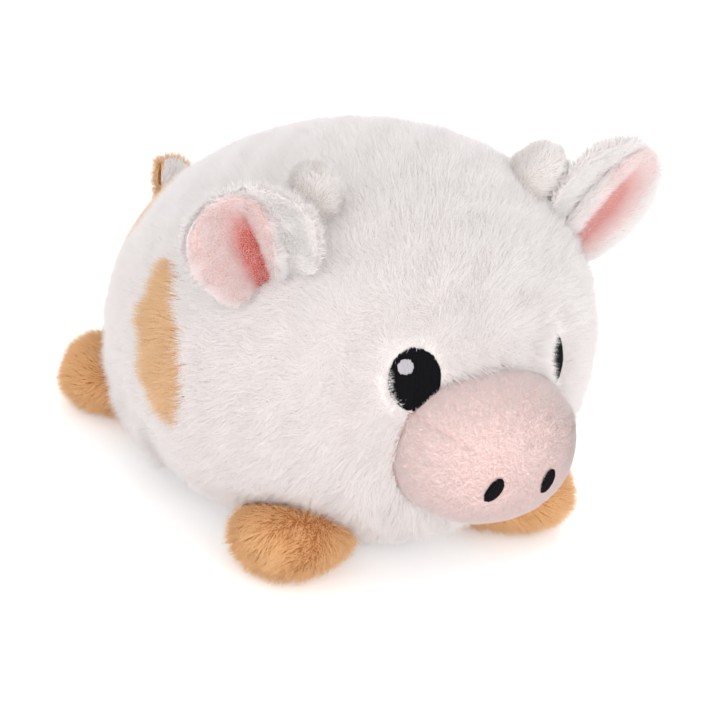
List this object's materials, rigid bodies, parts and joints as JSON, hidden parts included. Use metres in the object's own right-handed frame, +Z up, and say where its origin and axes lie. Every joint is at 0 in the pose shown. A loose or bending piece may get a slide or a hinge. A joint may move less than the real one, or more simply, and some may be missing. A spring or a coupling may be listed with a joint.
{
  "type": "plush cow",
  "caption": "Plump plush cow lying on its belly, with a pink muzzle, cupped ears, small horns, stubby tan feet, a folded tail and a pouch of grain sewn inside for warming.",
  "frame": {"origin": "on the floor under the middle of the toy's length, in its plane of symmetry", "axes": "+Z up, the cow faces -Y, its left side is +X"},
  "size_m": [0.2168, 0.2684, 0.1627],
  "materials": {
    "white_pile": "soft long white pile",
    "tan_pile": "soft long tan pile",
    "hoof_pile": "dense brown-tan pile",
    "pink_pile": "short velvety pink pile",
    "horn_pile": "short cream pile",
    "black_thread": "satin-stitched black thread",
    "pale_thread": "satin-stitched grey-white thread",
    "pouch_cloth": "plain woven cotton",
    "grain": "loose dry grain",
    "fibre": "loose fibre wadding"
  },
  "bodies": {
    "torso": {"head_panel": "white_pile", "back_panel_right": "white_pile", "back_panel_left": "white_pile", "belly_panel": "white_pile", "flank_patch_right": "tan_pile", "rump_patch": "tan_pile", "side_patch_left": "tan_pile", "pouch_top_cloth": "pouch_cloth", "pouch_bottom_cloth": "pouch_cloth", "grain_filling": "grain", "body_stuffing": "fibre", "muzzle_cover": "pink_pile", "muzzle_stuffing": "fibre", "nostril_right": "black_thread", "nostril_left": "black_thread", "eye_right": "black_thread", "eye_left": "black_thread", "eye_glint_right": "pale_thread", "eye_glint_left": "pale_thread", "horn_right": "horn_pile", "horn_left": "horn_pile"},
    "ear_right": {"ear_outer_right": "white_pile", "ear_lining_right": "pink_pile"},
    "ear_left": {"ear_outer_left": "white_pile", "ear_lining_left": "pink_pile"},
    "foot_front_right": {"foot_cover_front_right": "hoof_pile", "foot_stuffing_front_right": "fibre"},
    "foot_front_left": {"foot_cover_front_left": "hoof_pile", "foot_stuffing_front_left": "fibre"},
    "foot_rear_right": {"foot_cover_rear_right": "hoof_pile", "foot_stuffing_rear_right": "fibre"},
    "foot_rear_left": {"foot_cover_rear_left": "hoof_pile", "foot_stuffing_rear_left": "fibre"},
    "tail": {"tail_outer": "tan_pile", "tail_lining": "white_pile"}
  },
  "joints": [
    {"name": "ear_right_flop", "type": "hinge", "parent": "torso", "child": "ear_right", "pos_m": [-0.0744, -0.0524, 0.11721], "axis": [-0.7753, 0.4452, -0.448], "range_deg": [-15, 15], "stiffness_Nm_per_rad": 0.04},
    {"name": "ear_left_flop", "type": "hinge", "parent": "torso", "child": "ear_left", "pos_m": [0.0744, -0.0524, 0.11721], "axis": [0.7701, -0.2582, -0.5834], "range_deg": [-15, 15], "stiffness_Nm_per_rad": 0.04},
    {"name": "foot_front_right_swing", "type": "hinge", "parent": "torso", "child": "foot_front_right", "pos_m": [-0.03271, -0.06158, 0.01519], "axis": [0, 0, 1], "range_deg": [-12, 12], "stiffness_Nm_per_rad": 0.3},
    {"name": "foot_front_left_swing", "type": "hinge", "parent": "torso", "child": "foot_front_left", "pos_m": [0.03271, -0.06158, 0.01519], "axis": [0, 0, 1], "range_deg": [-12, 12], "stiffness_Nm_per_rad": 0.3},
    {"name": "foot_rear_right_swing", "type": "hinge", "parent": "torso", "child": "foot_rear_right", "pos_m": [-0.03355, 0.05846, 0.01519], "axis": [0, 0, 1], "range_deg": [-12, 12], "stiffness_Nm_per_rad": 0.3},
    {"name": "foot_rear_left_swing", "type": "hinge", "parent": "torso", "child": "foot_rear_left", "pos_m": [0.03355, 0.05846, 0.01519], "axis": [0, 0, 1], "range_deg": [-12, 12], "stiffness_Nm_per_rad": 0.3},
    {"name": "tail_lift", "type": "hinge", "parent": "torso", "child": "tail", "pos_m": [0, 0.11733, 0.065], "axis": [1, 0, 0], "range_deg": [-15, 15], "stiffness_Nm_per_rad": 0.03}
  ]
}
